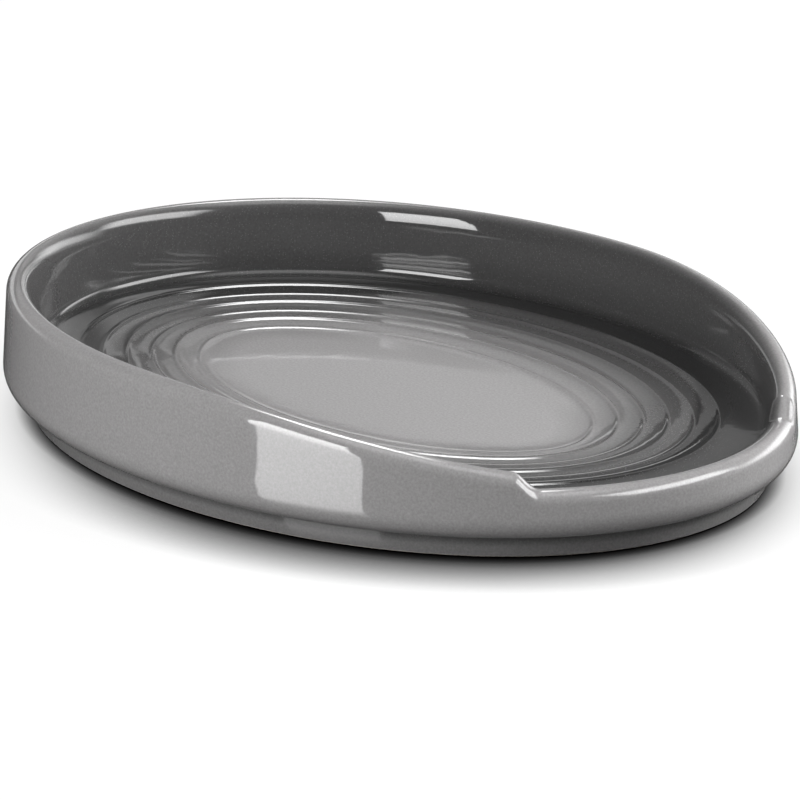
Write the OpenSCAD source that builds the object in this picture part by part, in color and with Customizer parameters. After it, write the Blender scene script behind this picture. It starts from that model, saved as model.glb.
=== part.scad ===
// Oval stoneware spoon rest: a ringed floor, a rim that falls towards one end,
// and a notch there with a low lip for the handle.
// X runs from the high end to the lip, Z is up, and the foot stands on Z = 0 under the middle.

/* [Body] */
// Length over the widest part of the wall
body_l = 156; // [146:1:168]
// Width over the widest part of the wall
body_w = 117; // [110:1:128]
// Height of the rim round the high end
back_h = 23; // [20:0.5:28]
// Lean of the outer wall towards the rim, in degrees
wall_lean = 3.5; // [0:0.5:6]
// Radius of the round under the wall
corner_r = 4; // [2.5:0.1:4.2]

/* [Rim] */
// Thickness of the rim
rim_t = 4.5; // [3.6:0.1:5.4]
// Height of the rounding on the inner side of the rim
rim_in_h = 4; // [2.3:0.1:5]
// Lean of the inner wall away from the floor, in degrees
inner_lean = 3; // [1:0.5:6]
// Height of the rim where it reaches the notch
rim_end_h = 15.4; // [14.5:0.1:18]

/* [Spoon notch] */
// Width of the notch, between the middles of its two end steps
notch_w = 58; // [46:0.5:72]
// Length across the notch of the rounded step at each end
step_l = 3.2; // [2.4:0.1:8]
// Rise of the lip above the outer floor
lip_rise = 2.8; // [1.5:0.05:3.2]

/* [Floor] */
// Height of the middle of the floor above the table
floor_h = 7.9; // [7.2:0.1:9.4]
// Number of rings that step up from the middle of the floor
ring_count = 3; // [1:1:3]
// Rise of each ring
ring_rise = 0.57; // [0.3:0.01:0.8]
// Distance from one ring to the next
ring_pitch = 8.5; // [6.5:0.1:8.9]
// Width of a ring's slope
ring_slope = 4.3; // [2:0.1:5]
// Distance from the widest part of the wall in to the first ring
ring_inset = 13.1; // [13:0.1:14]
// Half width of the soft edge above and below a ring's slope
ring_edge = 0.5; // [0.2:0.1:0.7]
// Radius of the fillet where the floor meets the wall
floor_fillet = 1.3; // [0.8:0.1:3]

/* [Foot] */
// Height of the foot below the wall
foot_h = 3.8; // [3:0.1:4.6]
// Distance from the widest part of the wall in to the foot
foot_inset = 4.4; // [4.3:0.1:6]
// How far the foot draws in from its top to the table
foot_taper = 0.4; // [0:0.1:1]
// Width of the foot where it stands
foot_w = 5; // [3.5:0.1:7]
// Rounding of the foot's outer lower edge
foot_edge = 0.4; // [0.2:0.05:0.45]
// Depth of the hollow under the base
recess_h = 2.4; // [1.4:0.1:3.2]
// How far the side of the hollow draws in on its way up
recess_draft = 1.5; // [0.5:0.1:3]

/* [Glaze] */
// Thickness of the glaze
glaze_t = 0.35; // [0.2:0.05:0.5]
// Height of the bare clay above the table
bare_h = 0.5; // [0.5:0.1:1.5]
// Bare margin round the glaze under the base
base_margin = 1; // [0.4:0.1:3]

/* [Hidden] */
// The plan of every edge runs parallel to one guide oval, and a section gives [distance out from it, height].
wall_off = 17;
guide_a = body_l / 2 - wall_off;
guide_b = body_w / 2 - wall_off;
rim_r = rim_t / 2;
wall_z = foot_h + corner_r;
outer_floor = floor_h + ring_count * ring_rise;
lip_h = outer_floor + lip_rise;
foot_off = wall_off - foot_inset;
foot_low = foot_off - foot_taper - glaze_t;
recess_off = foot_low - foot_w - recess_draft;
// Steps of a quarter turn in a section, on the glaze and on the clay under it
glaze_arc = 4;
clay_arc = 3;
// Sections along half of the oval: across the lip, over the notch step, to the side, round the high end
lip_sections = 4;
step_sections = 8;
side_sections = 10;
end_sections = 14;

// Point on a line d outside the guide oval, and its outward direction
function guide_dir(t) =
    let (v = [guide_b * cos(t), guide_a * sin(t)])
    v / norm(v);
function guide_point(t, d) = [guide_a * cos(t), guide_b * sin(t)] + d * guide_dir(t);

// Outer face of the wall at height z, and the middle of a rim of height h
function wall_face(z) = wall_off - (z - wall_z) * tan(wall_lean);
function rim_mid(h) = wall_face(h - rim_r) - rim_r;

// Angle at which the middle of the rim lies y from the long axis, found by halving
function angle_at(y, low = 0, high = 90, turns = 24) =
    let (mid = (low + high) / 2)
    turns == 0 ? mid
        : guide_point(mid, rim_mid(rim_end_h))[1] < y ? angle_at(y, mid, high, turns - 1)
        : angle_at(y, low, mid, turns - 1);
step_from = angle_at((notch_w - step_l) / 2);
step_to = angle_at((notch_w + step_l) / 2);

// Height of the rim: level round the high end, falling with the square of the way to the notch,
// then a soft step down to the lip
function ease(u) = u <= 0 ? 0 : u >= 1 ? 1 : u * u * (3 - 2 * u);
function rim_fall(t) =
    let (s = max(0, cos(t)) / cos(step_to))
    back_h - (back_h - rim_end_h) * s * s;
function rim_h(t) = lip_h + (rim_fall(t) - lip_h) * ease((abs(t) - step_from) / (step_to - step_from));

half_angles = concat(
    [for (i = [0 : lip_sections - 1]) step_from * i / lip_sections],
    [for (i = [0 : step_sections]) step_from + (step_to - step_from) * i / step_sections],
    [for (i = [1 : side_sections]) step_to + (90 - step_to) * i / side_sections],
    [for (i = [1 : end_sections]) 90 + 90 * i / end_sections]);
last_half = len(half_angles) - 1;
angles = concat(half_angles, [for (i = [last_half - 1 : -1 : 1]) -half_angles[i]]);

// Floor from the middle out: each ring is a slope, with soft edges where soft is above 0
function ring_points(k, soft, depth) =
    let (
        high = wall_off - ring_inset - (ring_count - 1 - k) * ring_pitch,
        low = high - ring_slope,
        z = floor_h - depth + k * ring_rise,
        lift = ring_rise * soft / ring_slope)
    soft == 0 ? [[low, z], [high, z + ring_rise]]
        : [[low - soft, z], [low + soft, z + lift],
           [high - soft, z + ring_rise - lift], [high + soft, z + ring_rise]];

// Section at a rim of height h, taken depth under the finished surface:
// rings, fillet, inner wall, rim, outer wall, round underneath and foot
function section(h, depth, steps, soft) =
    let (
        rise = h - outer_floor,
        fillet = min(floor_fillet, rise / 2),
        drop = min(rim_in_h, rise - fillet),
        mid = rim_mid(h),
        hollow = mid - rim_r - (rise - fillet - drop) * tan(inner_lean) - fillet,
        hollow_r = fillet + depth,
        round_r = rim_r - depth,
        under_r = corner_r - depth)
    concat(
        [for (k = [0 : ring_count - 1]) each ring_points(k, soft, depth)],
        [for (i = [0 : steps]) let (a = 90 * i / steps)
            [hollow + hollow_r * sin(a), outer_floor + fillet - hollow_r * cos(a)]],
        [for (i = [0 : steps]) let (a = 90 * (1 - i / steps))
            [mid - round_r * sin(a), h - drop + (drop - depth) * cos(a)]],
        [for (i = [1 : steps]) let (a = 90 * i / steps)
            [mid + round_r * sin(a), h - rim_r + round_r * cos(a)]],
        [for (i = [0 : steps]) let (a = 90 * i / steps)
            [wall_off - corner_r + under_r * cos(a), wall_z - under_r * sin(a)]],
        [[foot_off - depth, foot_h + depth],
         [foot_off - depth - foot_taper * (foot_h - bare_h) / foot_h, bare_h]]);

// Clay below the glaze line: the bare foot and the hollow under the base
function foot_section() = [
    [foot_low, foot_edge],
    [foot_low - foot_edge, 0],
    [foot_low - foot_w, 0],
    [recess_off, recess_h]];

function backwards(list) = [for (i = [len(list) - 1 : -1 : 0]) list[i]];

// Closed skin through one section at each angle, with a fan at the middle of its first and last rings
module skin(sections, first_z, last_z) {
    turns = len(angles);
    rows = len(sections[0]);
    last = turns * rows + 1;
    rings = [for (k = [0 : rows - 1], i = [0 : turns - 1])
        let (p = guide_point(angles[i], sections[i][k][0]))
        [p[0], p[1], sections[i][k][1]]];
    first_fan = [for (i = [0 : turns - 1]) [0, 1 + (i + 1) % turns, 1 + i]];
    last_fan = [for (i = [0 : turns - 1]) [last, last - turns + i, last - turns + (i + 1) % turns]];
    bands = [for (k = [0 : rows - 2], i = [0 : turns - 1])
        let (
            a = 1 + k * turns + i,
            b = 1 + k * turns + (i + 1) % turns)
        each [[a, b, b + turns], [a, b + turns, a + turns]]];
    polyhedron(concat([[0, 0, first_z]], rings, [[0, 0, last_z]]), concat(first_fan, bands, last_fan));
}

// Fired clay: the whole dish under the glaze, with the bare ring that it stands on
module stoneware_body() {
    color("antiquewhite")
        skin(
            [for (t = angles) concat(section(rim_h(t), glaze_t, clay_arc, 0), foot_section())],
            floor_h - glaze_t,
            recess_h);
}

// Grey glaze over the floor, the rim and the outside, down to the bare foot
module glaze_coat() {
    color("gray")
        skin(
            [for (t = angles) concat(
                section(rim_h(t), 0, glaze_arc, ring_edge),
                backwards(section(rim_h(t), glaze_t, clay_arc, 0)))],
            floor_h,
            floor_h - glaze_t);
}

// Glaze in the hollow under the base, inside the foot
module base_glaze() {
    edge = recess_off - base_margin;
    color("gray")
        skin(
            [for (t = angles) [[edge, recess_h], [edge, recess_h - glaze_t]]],
            recess_h,
            recess_h - glaze_t);
}

stoneware_body();
glaze_coat();
base_glaze();
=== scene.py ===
import math
import bpy
import numpy as np
from mathutils import Matrix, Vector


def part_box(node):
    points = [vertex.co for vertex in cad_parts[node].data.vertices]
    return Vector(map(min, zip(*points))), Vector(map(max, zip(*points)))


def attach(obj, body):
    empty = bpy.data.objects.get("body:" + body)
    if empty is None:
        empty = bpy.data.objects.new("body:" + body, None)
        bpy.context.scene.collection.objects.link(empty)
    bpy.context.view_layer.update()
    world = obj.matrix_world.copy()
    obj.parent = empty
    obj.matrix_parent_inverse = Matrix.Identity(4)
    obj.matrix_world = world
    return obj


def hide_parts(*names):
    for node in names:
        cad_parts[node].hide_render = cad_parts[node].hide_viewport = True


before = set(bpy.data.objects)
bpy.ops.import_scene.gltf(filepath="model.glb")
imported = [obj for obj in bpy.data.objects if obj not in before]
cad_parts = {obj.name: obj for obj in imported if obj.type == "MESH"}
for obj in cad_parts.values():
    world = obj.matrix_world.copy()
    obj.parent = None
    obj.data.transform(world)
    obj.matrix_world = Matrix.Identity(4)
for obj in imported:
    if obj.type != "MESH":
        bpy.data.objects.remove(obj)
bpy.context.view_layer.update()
coatLow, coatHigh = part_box("glaze_coat")
scene = bpy.context.scene
scene.view_settings.view_transform = "Standard"

# The dish, in metres; every edge of it runs parallel to one guide oval,
# and d is the distance out from that oval
dish = {
    "length": coatHigh.x - coatLow.x,
    "width": coatHigh.y - coatLow.y,
    "backHeight": coatHigh.z,
    "wallOut": 0.017,        # d of the widest part of the wall
    "wallLean": math.radians(3.5),
    "cornerRadius": 0.004,   # round under the wall
    "rimRadius": 0.00225,
    "rimInside": 0.004,      # height of the rounding on the inner side of the rim
    "innerLean": math.radians(3),
    "rimEndHeight": 0.0154,  # rim where it reaches the notch
    "notchWidth": 0.058,
    "stepLength": 0.0034,    # length across the notch of the step at each end
    "lipRise": 0.0028,       # lip above the outer floor
    "lipRounding": 0.92,     # most of the lip's inner face that its rounding takes
    "floorHeight": 0.0079,
    "floorFillet": 0.002,
    "flatLine": -0.0242,     # d of a line of points on the flat middle of the floor
    "ringCount": 3,
    "ringRise": 0.00057,
    "ringPitch": 0.0085,
    "ringSlope": 0.0043,     # width of a ring's slope
    "ringInset": 0.0131,     # from the widest part of the wall in to the outer ring
    "ringSoft": 0.0005,      # half width of a ring's soft edges
    "ridgeHeight": 0.00018,  # fine ridge that the glaze leaves along both edges of a ring
    "ridgeWidth": 0.00042,
    "ridgeReach": 2.2,       # ridge widths over which the points lie close
    "slopeGap": 0.0002,      # bare stretch between the points of two lines
    "swellHeight": 0.00014,  # broad swell under each ridge
    "swellWidth": 0.0013,
    "footHeight": 0.0038,
    "footInset": 0.0044,
    "footTaper": 0.0004,
    "footWidth": 0.005,
    "footEdge": 0.0004,
    "footFillet": 0.00038,   # small hollow where the foot meets the wall
    "recessHeight": 0.0024,  # hollow under the base
    "recessDraft": 0.0015,
    "glazeThickness": 0.00035,
    "bareHeight": 0.0005,    # clay left bare above the table
    "baseMargin": 0.001,     # clay left bare round the glaze under the base
}
guideA = dish["length"] / 2 - dish["wallOut"]
guideB = dish["width"] / 2 - dish["wallOut"]
wallHeight = dish["footHeight"] + dish["cornerRadius"]
outerFloor = dish["floorHeight"] + dish["ringCount"] * dish["ringRise"]
lipHeight = outerFloor + dish["lipRise"]
footOut = dish["wallOut"] - dish["footInset"]
footLow = footOut - dish["footTaper"] - dish["glazeThickness"]
recessOut = footLow - dish["footWidth"] - dish["recessDraft"]


# Guide oval: (a cos t, b sin t) plus d times the unit normal, which runs along (b cos t, a sin t)
def guidePoint(t, d):
    nx, ny = guideB * np.cos(t), guideA * np.sin(t)
    size = np.hypot(nx, ny)
    return guideA * np.cos(t) + d * nx / size, guideB * np.sin(t) + d * ny / size


# Middle of a rim of height h: the wall's face there, leaning in with height, less the rim's radius
def rimMiddle(h):
    lean = (h - dish["rimRadius"] - wallHeight) * math.tan(dish["wallLean"])
    return dish["wallOut"] - lean - dish["rimRadius"]


# Angle at which the rim's middle lies y from the long axis, read off a fine table of the oval
def rimAngle(y, tablePoints=4001):
    t = np.linspace(0, math.pi / 2, tablePoints)
    return float(np.interp(y, guidePoint(t, rimMiddle(dish["rimEndHeight"]))[1], t))


# Smooth step: 3u^2 - 2u^3, held at 0 and 1 outside
def easeStep(u):
    u = np.clip(u, 0, 1)
    return u * u * (3 - 2 * u)


stepFrom = rimAngle((dish["notchWidth"] - dish["stepLength"]) / 2)
stepTo = rimAngle((dish["notchWidth"] + dish["stepLength"]) / 2)


# Rim height: level round the back, falling with the square of cos t towards the notch,
# then a smooth step down to the lip
def rimHeight(t):
    turned = np.abs((t + math.pi) % (2 * math.pi) - math.pi)
    fall = np.maximum(0, np.cos(turned)) / math.cos(stepTo)
    rim = dish["backHeight"] - (dish["backHeight"] - dish["rimEndHeight"]) * fall ** 2
    return lipHeight + (rim - lipHeight) * easeStep((turned - stepFrom) / (stepTo - stepFrom))


# Angles round the dish: even, but closer together over the two notch steps (inverse of a summed density,
# which is 1 plus a bell of height crowd and of spread half steps at each)
def dishAngles(count, crowd, spread=1.6, tablePoints=20001):
    t = np.linspace(-math.pi, math.pi, tablePoints)
    stepMid, stepHalf = (stepFrom + stepTo) / 2, (stepTo - stepFrom) / 2
    density = 1 + crowd * np.exp(-((np.abs(t) - stepMid) / (spread * stepHalf)) ** 2)
    summed = np.concatenate([[0], np.cumsum((density[1:] + density[:-1]) / 2)])
    return np.interp(np.arange(count) / count * summed[-1], summed, t)[:, None]


# Lower and upper line of each ring's slope, from the middle out: the outer ring's, less whole pitches
def ringLines():
    upper = dish["wallOut"] - dish["ringInset"] - np.arange(dish["ringCount"])[::-1] * dish["ringPitch"]
    return [(high - dish["ringSlope"], high) for high in upper]


# Floor height at d: for each ring a ramp, averaged over a window of the soft width so that its ends are
# round, and on both its lines a ridge and a swell, each a height times exp(-(way / width)^2)
def floorProfile(d):
    soft, slope = dish["ringSoft"], dish["ringSlope"]
    hinge = lambda x: np.maximum(x, 0) ** 2
    z = np.full_like(d, dish["floorHeight"])
    for low, high in ringLines():
        ends = hinge(d - low + soft) - hinge(d - low - soft) - hinge(d - high + soft) + hinge(d - high - soft)
        z = z + dish["ringRise"] * ends / (4 * soft * slope)
        for line in (low, high):
            z = z + dish["ridgeHeight"] * np.exp(-((d - line) / dish["ridgeWidth"]) ** 2)
            z = z + dish["swellHeight"] * np.exp(-((d - line) / dish["swellWidth"]) ** 2)
    return z


# Distances across the floor: one on the flat middle, then on each ring line an even run over the ridge,
# with wider even steps on both sides of it to near the middle of the slope
def ringDistances(steps):
    reach = dish["ridgeReach"] * dish["ridgeWidth"]
    close = np.linspace(-reach, reach, steps)
    side = np.linspace(dish["ringSlope"] / 2 - dish["slopeGap"], reach, steps // 2, endpoint=False)
    run = np.concatenate([-side, close, side[::-1]])
    return np.concatenate([[dish["flatLine"]]] + [line + run for pair in ringLines() for line in pair])


# Even steps strictly between the last column of one stretch and the first of the next
def between(first, second, count):
    share = np.linspace(0, 1, count + 2)[None, 1:-1]
    return tuple(a[:, -1:] + (b[:, :1] - a[:, -1:]) * share for a, b in zip(first, second))


# Stretches of a section set end to end, distances and heights alike
def joinStretches(*stretches):
    return tuple(np.concatenate(columns, 1) for columns in zip(*stretches))


sectionSteps = {"face": 4, "wall": 6, "foot": 2}  # points on the straight stretches


# Section at each angle, taken depth under the finished surface, as (distance out, height): ringed floor,
# fillet arc, inner wall, rim arcs (an ellipse inside, a circle outside), leaning wall, round underneath,
# arc of the small hollow, and foot
def dishSection(t, depth, ringSteps, arcSteps):
    h = rimHeight(t)
    rise = h - outerFloor
    fillet = np.minimum(dish["floorFillet"], rise / 2)
    drop = np.minimum(dish["rimInside"], dish["lipRounding"] * (rise - fillet))
    middle = rimMiddle(h)
    inside = middle - dish["rimRadius"] - (rise - fillet - drop) * math.tan(dish["innerLean"]) - fillet
    filletR = fillet + depth
    rimR = dish["rimRadius"] - depth
    underR = dish["cornerRadius"] - depth
    nookR = dish["footFillet"] + depth
    nookHeight = dish["footHeight"] - dish["footFillet"]
    everywhere = 0 * t  # gives a stretch a row at each angle
    share = np.linspace(0, 1, arcSteps)[None, :]
    across = ringDistances(ringSteps)[None, :] + everywhere
    floorPart = (across, floorProfile(across) - depth)
    a = math.pi / 2 * share
    filletPart = (inside + filletR * np.sin(a), outerFloor + fillet - filletR * np.cos(a))
    a = math.pi / 2 * (1 - share)
    innerPart = (middle - rimR * np.sin(a), h - drop + (drop - depth) * np.cos(a))
    a = (math.pi / 2 - dish["wallLean"]) * share[:, 1:]
    outerPart = (middle + rimR * np.sin(a), h - dish["rimRadius"] + rimR * np.cos(a))
    a = -dish["wallLean"] + (math.pi / 2 + dish["wallLean"]) * share + everywhere
    underPart = (dish["wallOut"] - dish["cornerRadius"] + underR * np.cos(a), wallHeight - underR * np.sin(a))
    a = math.pi / 2 * share + everywhere
    nookPart = (footOut + dish["footFillet"] - nookR * np.sin(a), nookHeight + nookR * np.cos(a))
    down = np.linspace(0, 1, sectionSteps["foot"] + 1)[None, 1:] + everywhere
    drawIn = dish["footTaper"] * (dish["footHeight"] - dish["bareHeight"]) / dish["footHeight"]
    footPart = (footOut - depth - drawIn * down, nookHeight + (dish["bareHeight"] - nookHeight) * down)
    facePart = between(filletPart, innerPart, sectionSteps["face"])
    wallPart = between(outerPart, underPart, sectionSteps["wall"])
    return joinStretches(floorPart, filletPart, facePart, innerPart, outerPart,
                         wallPart, underPart, nookPart, footPart)


# Closed skin: section rows round the dish, quads between them, and a fan at each pole on the axis
def skinPiece(name, t, section, poleHeights):
    x, y = guidePoint(t, section[0])
    rows, columns = x.shape
    ring = np.stack([x, y, section[1]], -1).reshape(-1, 3)
    poles = np.array([[0, 0, poleHeights[0]], [0, 0, poleHeights[1]]])
    points = np.concatenate([ring, poles])
    here = np.arange(rows)[:, None] * columns + np.arange(columns - 1)[None, :]
    after = (np.arange(rows)[:, None] + 1) % rows * columns + np.arange(columns - 1)[None, :]
    quads = np.stack([here, here + 1, after + 1, after], -1).reshape(-1, 4)
    start, following = here[:, 0], after[:, 0]
    firstPole = np.full(rows, rows * columns)
    top = np.stack([firstPole, start, following], -1)
    bottom = np.stack([firstPole + 1, following + columns - 1, start + columns - 1], -1)
    mesh = bpy.data.meshes.new(name)
    mesh.from_pydata(points.tolist(), [], quads.tolist() + top.tolist() + bottom.tolist())
    mesh.shade_smooth()
    piece = bpy.data.objects.new(name, mesh)
    scene.collection.objects.link(piece)
    return piece


# Paleness of the glaze over the dish, where 1 is palest, and painted shade under the wall and on the foot
palenessAndPaintedShade = {
    "paleWithin": -0.0205,  # d up to which the floor is palest
    "edgeShade": 0.2,       # first step down, at the edge of the middle
    "edgeWidth": 0.004,
    "duskFrom": -0.0005,    # d at which the slow fall over the rings ends
    "duskPale": 0.17,       # paleness left there
    "darkWithin": 0.0025,   # last step down, at the edge of the outer floor
    "darkFrom": 0.0045,
    "endShift": 0.004,      # how far in the shade moves at the two ends of the oval
    "endFrom": 0.5,         # size of cos t at which that sets in
    "endWidth": 0.32,
    "wallPale": 0.13,       # inner wall
    "outerPale": 0.845,     # outside
    "rimFrom": 0.22,        # share of the way over the rim at which it turns paler
    "rimWidth": 0.42,
    # Painted shade: the round under the wall, the foot and the groove over it are darkened where shade falls
    "footPaintedShade": 0.38,       # how much darker the foot is than the outside
    "groovePaintedShade": 0.28,     # and the groove over it than the foot
}


# Paleness over the section's columns: 1 less three smooth steps along the floor, a smooth step up the inner
# wall and another over the rim, then smooth steps down under the wall to the groove, and up again on the foot
def palenessWithPaintedShade(t, ringSteps, arcSteps):
    shade = palenessAndPaintedShade
    ends = easeStep((np.abs(np.cos(t)) - shade["endFrom"]) / shade["endWidth"])
    d = ringDistances(ringSteps)[None, :] + shade["endShift"] * ends
    edge = easeStep((d - shade["paleWithin"]) / shade["edgeWidth"])
    duskStart = shade["paleWithin"] + shade["edgeWidth"] / 2
    dusk = easeStep((d - duskStart) / (shade["duskFrom"] - duskStart))
    dark = easeStep((d - shade["darkWithin"]) / (shade["darkFrom"] - shade["darkWithin"]))
    duskShade = 1 - shade["edgeShade"] - shade["duskPale"]
    floorPale = 1 - shade["edgeShade"] * edge - duskShade * dusk - shade["duskPale"] * dark
    insidePale = shade["wallPale"] * easeStep(np.linspace(0, 1, arcSteps + sectionSteps["face"]))
    overRim = easeStep((np.linspace(0, 1, 2 * arcSteps - 1) - shade["rimFrom"]) / shade["rimWidth"])
    rimPale = shade["wallPale"] + (shade["outerPale"] - shade["wallPale"]) * overRim
    wallPale = np.full(sectionSteps["wall"], shade["outerPale"])
    # Painted shade down the round under the wall, deepest in the groove, and on the foot
    under = np.linspace(0, 1, arcSteps)
    groove = shade["groovePaintedShade"] * easeStep(2 * under - 1)
    underPale = shade["outerPale"] - shade["footPaintedShade"] * easeStep(under) - groove
    footPale = shade["outerPale"] - shade["footPaintedShade"]
    nookPale = np.full(arcSteps, footPale - shade["groovePaintedShade"])
    rest = [insidePale, rimPale, wallPale, underPale, nookPale, np.full(sectionSteps["foot"], footPale)]
    return np.concatenate([floorPale, np.concatenate(rest)[None, :] + 0 * t], 1)


# Glaze skin: the finished surface out to the foot, a half-round bead, and back along the clay
coatGrid = {
    "around": 384,
    "crowd": 5.0,        # how much closer the rows lie over the notch steps
    "ringSteps": 9,
    "arcSteps": 14,
    "backRingSteps": 3,
    "backArcSteps": 5,
    "beadSteps": 5,
}


def makeCoat():
    t = dishAngles(coatGrid["around"], coatGrid["crowd"])
    face = dishSection(t, 0.0, coatGrid["ringSteps"], coatGrid["arcSteps"])
    back = dishSection(t, dish["glazeThickness"], coatGrid["backRingSteps"], coatGrid["backArcSteps"])
    a = np.linspace(0, math.pi, coatGrid["beadSteps"] + 2)[None, 1:-1] + 0 * t
    half = dish["glazeThickness"] / 2
    bead = (face[0][:, -1:] - half + half * np.cos(a), dish["bareHeight"] - half * np.sin(a))
    section = joinStretches(face, bead, tuple(part[:, ::-1] for part in back))
    poles = (dish["floorHeight"], dish["floorHeight"] - dish["glazeThickness"])
    piece = skinPiece("glaze_skin", t, section, poles)
    # The paleness on the points includes the painted shade under the wall, in the groove and on the foot
    paleness = np.ones(section[0].shape)
    paleness[:, :face[0].shape[1]] = palenessWithPaintedShade(t, coatGrid["ringSteps"], coatGrid["arcSteps"])
    paleness = np.concatenate([paleness.ravel(), [1, 1]])  # the two poles come last
    piece.data.attributes.new("paleness", "FLOAT", "POINT").data.foreach_set("value", paleness)
    return piece


# Clay: the skin under the glaze, then the bare foot with quarter-round edges and the hollow under the base,
# whose side draws in with a power of the way up while it rises as a sine
clayGrid = {
    "around": 240,
    "crowd": 3.0,
    "ringSteps": 3,
    "arcSteps": 6,
    "edgeSteps": 6,
    "hollowSteps": 8,
    "hollowStart": 0.25,  # share of the way up at the first step
    "hollowPower": 1.5,
}


def makeClay():
    t = dishAngles(clayGrid["around"], clayGrid["crowd"])
    under = dishSection(t, dish["glazeThickness"], clayGrid["ringSteps"], clayGrid["arcSteps"])
    a = np.linspace(0, math.pi / 2, clayGrid["edgeSteps"])[None, :] + 0 * t
    r = dish["footEdge"]
    footInner = footLow - dish["footWidth"]
    outEdge = (footLow - r + r * np.cos(a), r - r * np.sin(a))
    inEdge = (footInner + r - r * np.sin(a), r - r * np.cos(a))
    up = np.linspace(clayGrid["hollowStart"], 1, clayGrid["hollowSteps"])[None, :] + 0 * t
    hollow = (footInner - dish["recessDraft"] * up ** clayGrid["hollowPower"],
              r + (dish["recessHeight"] - r) * np.sin(up * math.pi / 2))
    section = joinStretches(under, outEdge, inEdge, hollow)
    poles = (dish["floorHeight"] - dish["glazeThickness"], dish["recessHeight"])
    return skinPiece("clay_body", t, section, poles)


# Base glaze: a thin flat sheet with a half-round edge, inside the hollow under the base
baseGrid = {"around": 200, "crowd": 0.0, "edgeSteps": 7}


def makeBaseGlaze():
    t = dishAngles(baseGrid["around"], baseGrid["crowd"])
    half = dish["glazeThickness"] / 2
    edge = recessOut - dish["baseMargin"] - half
    a = np.linspace(math.pi / 2, -math.pi / 2, baseGrid["edgeSteps"])[None, :] + 0 * t
    section = (edge + half * np.cos(a), dish["recessHeight"] - half + half * np.sin(a))
    poles = (dish["recessHeight"], dish["recessHeight"] - dish["glazeThickness"])
    return skinPiece("base_skin", t, section, poles)


# A node with its settings, and its inputs set to values or joined to other nodes' outputs
def addNode(tree, kind, inputs, **settings):
    node = tree.nodes.new(kind)
    for name, value in settings.items():
        setattr(node, name, value)
    for key, term in inputs.items():
        if isinstance(term, bpy.types.NodeSocket):
            tree.links.new(term, node.inputs[key])
        else:
            node.inputs[key].default_value = term
    return node


# One step of arithmetic on numbers and outputs
def mathStep(tree, operation, *terms):
    return addNode(tree, "ShaderNodeMath", dict(enumerate(terms)), operation=operation).outputs[0]


# Value carried from the range start..end to low..high, straight or by a smooth step, and held outside
def mapRange(tree, value, start, end, low=0.0, high=1.0, way="LINEAR"):
    inputs = {"Value": value, "From Min": start, "From Max": end, "To Min": low, "To Max": high}
    return addNode(tree, "ShaderNodeMapRange", inputs, interpolation_type=way).outputs["Result"]


# Colour between two others by a share (the colour sockets of a Mix node are 6 and 7, its result is 2)
def mixColours(tree, share, first, second):
    return addNode(tree, "ShaderNodeMix", {0: share, 6: first, 7: second}, data_type="RGBA").outputs[2]


# Flecks and clouds that every fired surface here shares
fleckForm = {
    "spot": (0.34, 0.12),  # edge and full middle of a fleck, as shares of its cell
    "cloudDetail": 4.0,
    "cloudRoughness": 0.62,
}


# Colour: the tint times 1 plus cloud depth times soft noise about zero, with the fleck tint on round spots
# in the middle of a share of the Voronoi cells
def makeFleckGroup():
    group = bpy.data.node_groups.new("firedFlecks", "ShaderNodeTree")
    face = group.interface
    face.new_socket("Vector", in_out="INPUT", socket_type="NodeSocketVector")
    for name in ("Tint", "Fleck Tint"):
        face.new_socket(name, in_out="INPUT", socket_type="NodeSocketColor")
    for name in ("Fleck Scale", "Fleck Share", "Cloud Scale", "Cloud Depth"):
        face.new_socket(name, in_out="INPUT", socket_type="NodeSocketFloat")
    face.new_socket("Color", in_out="OUTPUT", socket_type="NodeSocketColor")
    face.new_socket("Clouds", in_out="OUTPUT", socket_type="NodeSocketFloat")
    given = group.nodes.new("NodeGroupInput").outputs
    cells = addNode(group, "ShaderNodeTexVoronoi",
                    {"Vector": given["Vector"], "Scale": given["Fleck Scale"], "Randomness": 1.0})
    spot = mapRange(group, cells.outputs["Distance"], *fleckForm["spot"], way="SMOOTHSTEP")
    pick = addNode(group, "ShaderNodeSeparateColor", {"Color": cells.outputs["Color"]})
    chosen = mathStep(group, "LESS_THAN", pick.outputs["Red"], given["Fleck Share"])
    fleck = mathStep(group, "MULTIPLY", spot, chosen)
    clouds = addNode(group, "ShaderNodeTexNoise",
                     {"Vector": given["Vector"], "Scale": given["Cloud Scale"],
                      "Detail": fleckForm["cloudDetail"], "Roughness": fleckForm["cloudRoughness"]})
    aboutZero = mathStep(group, "SUBTRACT", clouds.outputs["Fac"], 0.5)
    shade = mathStep(group, "MULTIPLY_ADD", aboutZero, given["Cloud Depth"], 1.0)
    toned = addNode(group, "ShaderNodeVectorMath", {0: given["Tint"], "Scale": shade}, operation="SCALE")
    colour = mixColours(group, fleck, toned.outputs[0], given["Fleck Tint"])
    addNode(group, "NodeGroupOutput", {"Color": colour, "Clouds": clouds.outputs["Fac"]})
    return group
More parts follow.
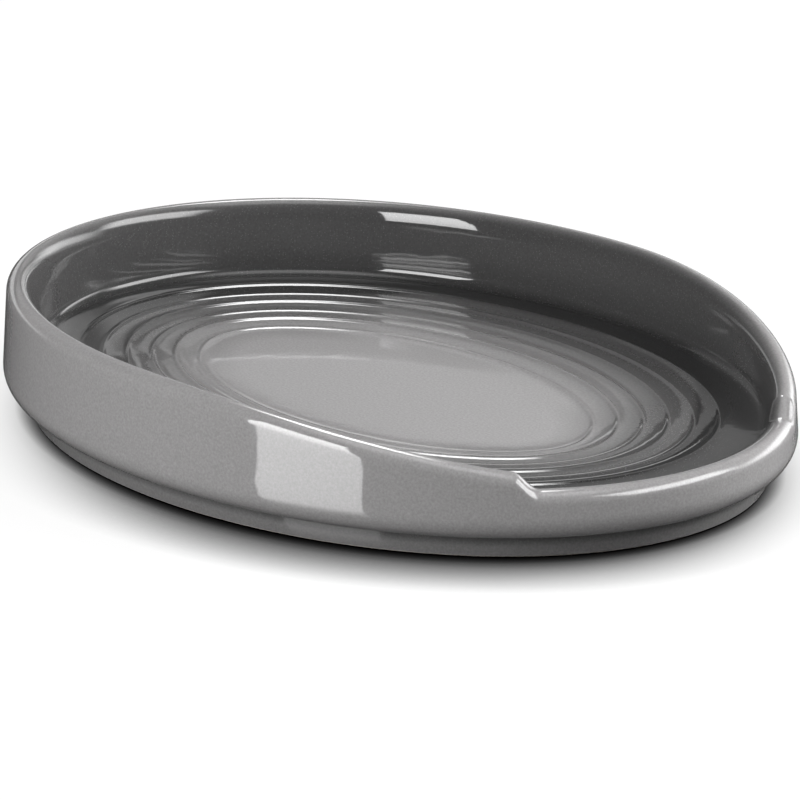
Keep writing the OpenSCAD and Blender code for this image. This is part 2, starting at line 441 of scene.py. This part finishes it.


# A fired finish: flecked colour, roughness that follows the clouds, and noise as a low ripple in a bump;
# with dark tints given, each tint runs from its dark one to its own by the piece's paleness, which holds
# painted shade too
def firedMaterial(name, group, look, darkTints=None):
    material = bpy.data.materials.new(name)
    material.use_nodes = True
    tree = material.node_tree
    shader = tree.nodes["Principled BSDF"]
    place = tree.nodes.new("ShaderNodeTexCoord").outputs["Object"]
    flecks = addNode(tree, "ShaderNodeGroup", {}, node_tree=group)
    for key in ("Tint", "Fleck Tint", "Fleck Scale", "Fleck Share", "Cloud Scale", "Cloud Depth"):
        flecks.inputs[key].default_value = look[key]
    tree.links.new(place, flecks.inputs["Vector"])
    if darkTints:
        paleness = addNode(tree, "ShaderNodeAttribute", {}, attribute_name="paleness")
        for key, darkTint in darkTints.items():
            graded = mixColours(tree, paleness.outputs["Fac"], darkTint, look[key])
            tree.links.new(graded, flecks.inputs[key])
    ripple = addNode(tree, "ShaderNodeTexNoise",
                     {"Vector": place, "Scale": look["rippleScale"], "Detail": look["rippleDetail"]})
    bump = addNode(tree, "ShaderNodeBump",
                   {"Height": ripple.outputs["Fac"], "Strength": 1.0, "Distance": look["rippleHeight"]})
    rough = mapRange(tree, flecks.outputs["Clouds"], 0.0, 1.0, *look["rough"])
    tree.links.new(flecks.outputs["Color"], shader.inputs["Base Color"])
    tree.links.new(rough, shader.inputs["Roughness"])
    tree.links.new(bump.outputs["Normal"], shader.inputs["Normal"])
    shader.inputs["IOR"].default_value = look["ior"]
    print("material", name)
    return material


fleckGroup = makeFleckGroup()
glazeLook = {
    "Tint": (0.262, 0.257, 0.2577, 1),
    "Fleck Tint": (0.228, 0.222, 0.221, 1),
    "Fleck Scale": 2900.0,
    "Fleck Share": 0.4,
    "Cloud Scale": 2400.0,
    "Cloud Depth": 0.7,
    "rough": (0.03, 0.06),
    "rippleScale": 240.0,
    "rippleDetail": 2.0,
    "rippleHeight": 0.00002,
    "ior": 1.52,
}
glazeDark = {"Tint": (0.026, 0.0258, 0.0258, 1), "Fleck Tint": (0.085, 0.084, 0.083, 1)}
baseLook = dict(glazeLook, rough=(0.12, 0.22), rippleHeight=0.00006)
# The clay is tinted darker than its own pale fired colour: painted shade on the thin bare band where the foot
# meets the table
clayLookWithPaintedShade = {
    "Tint": (0.34, 0.31, 0.28, 1),
    "Fleck Tint": (0.22, 0.19, 0.16, 1),
    "Fleck Scale": 1200.0,
    "Fleck Share": 0.12,
    "Cloud Scale": 400.0,
    "Cloud Depth": 0.3,
    "rough": (0.75, 0.95),
    "rippleScale": 3000.0,
    "rippleDetail": 3.0,
    "rippleHeight": 0.00008,
    "ior": 1.45,
}
pieces = (
    (makeCoat(), "glaze_coat", "glaze", firedMaterial("greyGlaze", fleckGroup, glazeLook, glazeDark)),
    (makeClay(), "stoneware_body", "clay", firedMaterial("bareClayWithPaintedShade", fleckGroup, clayLookWithPaintedShade)),
    (makeBaseGlaze(), "base_glaze", "base_glaze", firedMaterial("baseGlaze", fleckGroup, baseLook)),
)
for piece, node, slot, material in pieces:
    piece.data.materials.append(material)
    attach(piece, "root")
    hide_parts(node)
    print("piece", piece.name, "for", node, "with", len(piece.data.polygons), "faces")

# Camera: azimuth and elevation of the photograph, with its long lens and off-centre framing
view = {
    "azimuth": 48.33,
    "elevation": 17.98,
    "distance": 1.0316,
    "lens": 270.0,
    "sensor": 36.0,
    "shift": (0.00817, 0.0413),
    "clip": (0.01, 20.0),
}


# Unit direction at an azimuth from the camera (to its right) and an elevation: (sin cos, -cos cos, sin)
def towards(azimuth, elevation):
    az, el = math.radians(view["azimuth"] + azimuth), math.radians(elevation)
    return np.array([math.sin(az) * math.cos(el), -math.cos(az) * math.cos(el), math.sin(el)])


# Turns an object so that its -Z looks from a place to the origin: right is up cross back, made level
def aimAtOrigin(thing, place):
    thing.location = place.tolist()
    back = place / np.linalg.norm(place)
    right = np.cross([0, 0, 1], back)
    right /= np.linalg.norm(right)
    up = np.cross(back, right)
    thing.rotation_euler = Matrix(np.stack([right, up, back], 1).tolist()).to_euler()


# Camera at the view's distance along its direction
def makeCamera():
    data = bpy.data.cameras.new("camera")
    data.lens = view["lens"]
    data.sensor_width = view["sensor"]
    data.shift_x, data.shift_y = view["shift"]
    data.clip_start, data.clip_end = view["clip"]
    thing = bpy.data.objects.new("camera", data)
    scene.collection.objects.link(thing)
    aimAtOrigin(thing, view["distance"] * towards(0, view["elevation"]))
    return thing


camera = makeCamera()
scene.camera = camera
print("camera at", list(camera.location))

# Lamps: azimuth from the camera and elevation in degrees, distance in metres, radiance where 1 is white,
# soft edges as shares of the width and height, and the share of the radiance left at the lower edge
lamps = {
    "leftWindow": {"azimuth": (-61, -35.5), "elevation": (-45, 39), "distance": 0.5, "radiance": 13.5,
                   "soft": (0.02, 0.08), "low": 0.0},
    "rightShine": {"azimuth": (34, 110), "elevation": (20, 54), "distance": 0.8, "radiance": 9.5,
                   "soft": (0.25, 0.25), "low": 1.0, "mirroredOnly": True},
    "rightBox": {"azimuth": (57, 132), "elevation": (14, 50), "distance": 0.8, "radiance": 14.5,
                 "soft": (0.25, 0.3), "low": 1.0, "lightOnly": True},
    "rightSide": {"azimuth": (90, 160), "elevation": (2, 30), "distance": 1.0, "radiance": 5.0,
                  "soft": (0.4, 0.4), "low": 1.0},
    "ceiling": {"azimuth": (-78, 78), "elevation": (60, 108), "distance": 1.2, "radiance": 2.2,
                "soft": (0.3, 0.3), "low": 1.0},
    "backTop": {"azimuth": (164, 197), "elevation": (44, 72), "distance": 0.8, "radiance": 14.0,
                "soft": (0.3, 0.2), "low": 1.0, "mirroredOnly": True},
    "backdrop": {"azimuth": (120, 240), "elevation": (16.6, 42), "distance": 4.0, "radiance": 0.34,
                 "soft": (0.3, 0.012), "low": 1.0},
    "horizon": {"azimuth": (120, 240), "elevation": (2, 13.6), "distance": 4.0, "radiance": 0.95,
                "soft": (0.2, 0.05), "low": 1.0},
}
lampSlope = (0.12, 0.8)  # shares of a lamp's height between which it rises to its full radiance


# Area lamp that spans the given angles: size 2 r tan(angle / 2), power radiance times area times pi
def makeLamp(name, lamp):
    (left, right), (low, high) = lamp["azimuth"], lamp["elevation"]
    data = bpy.data.lights.new(name, "AREA")
    data.shape = "RECTANGLE"
    flat = math.cos(math.radians((low + high) / 2))
    data.size = 2 * lamp["distance"] * math.tan(math.radians(right - left) / 2) * flat
    data.size_y = 2 * lamp["distance"] * math.tan(math.radians(high - low) / 2)
    data.energy = lamp["radiance"] * data.size * data.size_y * math.pi
    thing = bpy.data.objects.new(name, data)
    scene.collection.objects.link(thing)
    aimAtOrigin(thing, lamp["distance"] * towards((left + right) / 2, (low + high) / 2))
    thing.visible_camera = False
    thing.visible_diffuse = not lamp.get("mirroredOnly", False)
    thing.visible_glossy = not lamp.get("lightOnly", False)
    print("lamp", name, "of radiance", lamp["radiance"])
    return thing


# Lamp's falloff: a smooth step over the soft share at each edge, times a smooth step up its height
# from the low share to 1
def shapeLamp(thing, lamp):
    thing.data.use_nodes = True
    tree = thing.data.node_tree
    place = tree.nodes.new("ShaderNodeNewGeometry")
    split = addNode(tree, "ShaderNodeSeparateXYZ", {0: place.outputs["Parametric"]})
    strength = mapRange(tree, split.outputs["Y"], *lampSlope, low=lamp["low"], way="SMOOTHSTEP")
    for axis, soft in zip("XY", lamp["soft"]):
        rest = mathStep(tree, "SUBTRACT", 1.0, split.outputs[axis])
        nearerEdge = mathStep(tree, "MINIMUM", split.outputs[axis], rest)
        fade = mapRange(tree, nearerEdge, 0.0, soft, way="SMOOTHSTEP")
        strength = mathStep(tree, "MULTIPLY", strength, fade)
    tree.links.new(strength, tree.nodes["Emission"].inputs["Strength"])


for name, lamp in lamps.items():
    shapeLamp(makeLamp(name, lamp), lamp)

# Floor: a wide white sheet, which sends less light back to the dish than it shows; reflections look past it
floorLook = {
    "half": 3.0,
    "colour": (0.9, 0.9, 0.9, 1),
    "bounce": (0.3, 0.3, 0.3, 1),
    "glow": 0.9,            # share of the sheet that shows white by itself
    "contactReach": 0.015,  # broad shade round the foot
    "contactDepth": 2.85,
    "contactHalf": 0.056,   # half width, across the view, in which it is deep
    "contactShift": 0.002,
    "contactPower": 4.0,
    "touchReach": 0.003,    # thin dark line where the foot meets the sheet
    "touchDepth": 2.2,
}


# Shade on the sheet: openness to the power of depth times exp(-(|s - shift| / half)^power), where s runs
# across the view, times the openness close by to the power of its own depth
def contactShade(tree):
    look = floorLook
    place = tree.nodes.new("ShaderNodeTexCoord")
    across = addNode(tree, "ShaderNodeVectorMath",
                     {0: place.outputs["Object"], 1: towards(90, 0).tolist()}, operation="DOT_PRODUCT")
    half = look["contactHalf"]
    way = mathStep(tree, "MULTIPLY_ADD", across.outputs["Value"], 1 / half, -look["contactShift"] / half)
    steep = mathStep(tree, "POWER", mathStep(tree, "ABSOLUTE", way), look["contactPower"])
    bell = mathStep(tree, "EXPONENT", mathStep(tree, "MULTIPLY", steep, -1.0))
    depth = mathStep(tree, "MULTIPLY", bell, look["contactDepth"])
    broad = addNode(tree, "ShaderNodeAmbientOcclusion", {"Distance": look["contactReach"]})
    close = addNode(tree, "ShaderNodeAmbientOcclusion", {"Distance": look["touchReach"]})
    return mathStep(tree, "MULTIPLY",
                    mathStep(tree, "POWER", broad.outputs["AO"], depth),
                    mathStep(tree, "POWER", close.outputs["AO"], look["touchDepth"]))


# Sheet: four corners; the camera sees its colour and its glow, both times the shade,
# and all other rays see the bounce
def makeFloor():
    edge = floorLook["half"]
    corners = [(-edge, -edge, 0), (edge, -edge, 0), (edge, edge, 0), (-edge, edge, 0)]
    mesh = bpy.data.meshes.new("floor")
    mesh.from_pydata(corners, [], [(0, 1, 2, 3)])
    thing = bpy.data.objects.new("floor", mesh)
    scene.collection.objects.link(thing)
    material = bpy.data.materials.new("whiteSheet")
    material.use_nodes = True
    tree = material.node_tree
    tree.nodes.remove(tree.nodes["Principled BSDF"])
    shade = contactShade(tree)
    tone = addNode(tree, "ShaderNodeVectorMath",
                   {0: floorLook["colour"][:3], "Scale": shade}, operation="SCALE")
    sheet = addNode(tree, "ShaderNodeBsdfDiffuse", {"Color": tone.outputs[0]})
    glow = addNode(tree, "ShaderNodeEmission", {"Color": shade, "Strength": 1.0})
    seen = addNode(tree, "ShaderNodeMixShader",
                   {0: floorLook["glow"], 1: sheet.outputs[0], 2: glow.outputs[0]})
    bounce = addNode(tree, "ShaderNodeBsdfDiffuse", {"Color": floorLook["bounce"]})
    path = tree.nodes.new("ShaderNodeLightPath")
    both = addNode(tree, "ShaderNodeMixShader",
                   {0: path.outputs["Is Camera Ray"], 1: bounce.outputs[0], 2: seen.outputs[0]})
    tree.links.new(both.outputs[0], tree.nodes["Material Output"].inputs["Surface"])
    mesh.materials.append(material)
    thing.visible_glossy = False
    return thing


floor = makeFloor()
print("floor of", 2 * floorLook["half"], "m")

# World: white to the camera, a dim surround to mirrored rays, a low fill to everything else
worldLook = {"camera": 1.0, "backdrop": 0.02, "fill": 0.11}


# Strength: the fill, or the backdrop on mirrored rays, or the camera's value on rays from the camera
def makeWorld():
    world = bpy.data.worlds.new("studio")
    world.use_nodes = True
    tree = world.node_tree
    path = tree.nodes.new("ShaderNodeLightPath")
    unseen = mapRange(tree, path.outputs["Is Glossy Ray"], 0.0, 1.0, worldLook["fill"], worldLook["backdrop"])
    strength = mapRange(tree, path.outputs["Is Camera Ray"], 0.0, 1.0, unseen, worldLook["camera"])
    back = tree.nodes["Background"]
    back.inputs["Color"].default_value = (1, 1, 1, 1)
    tree.links.new(strength, back.inputs["Strength"])
    return world


scene.world = makeWorld()
print("world with fill", worldLook["fill"])
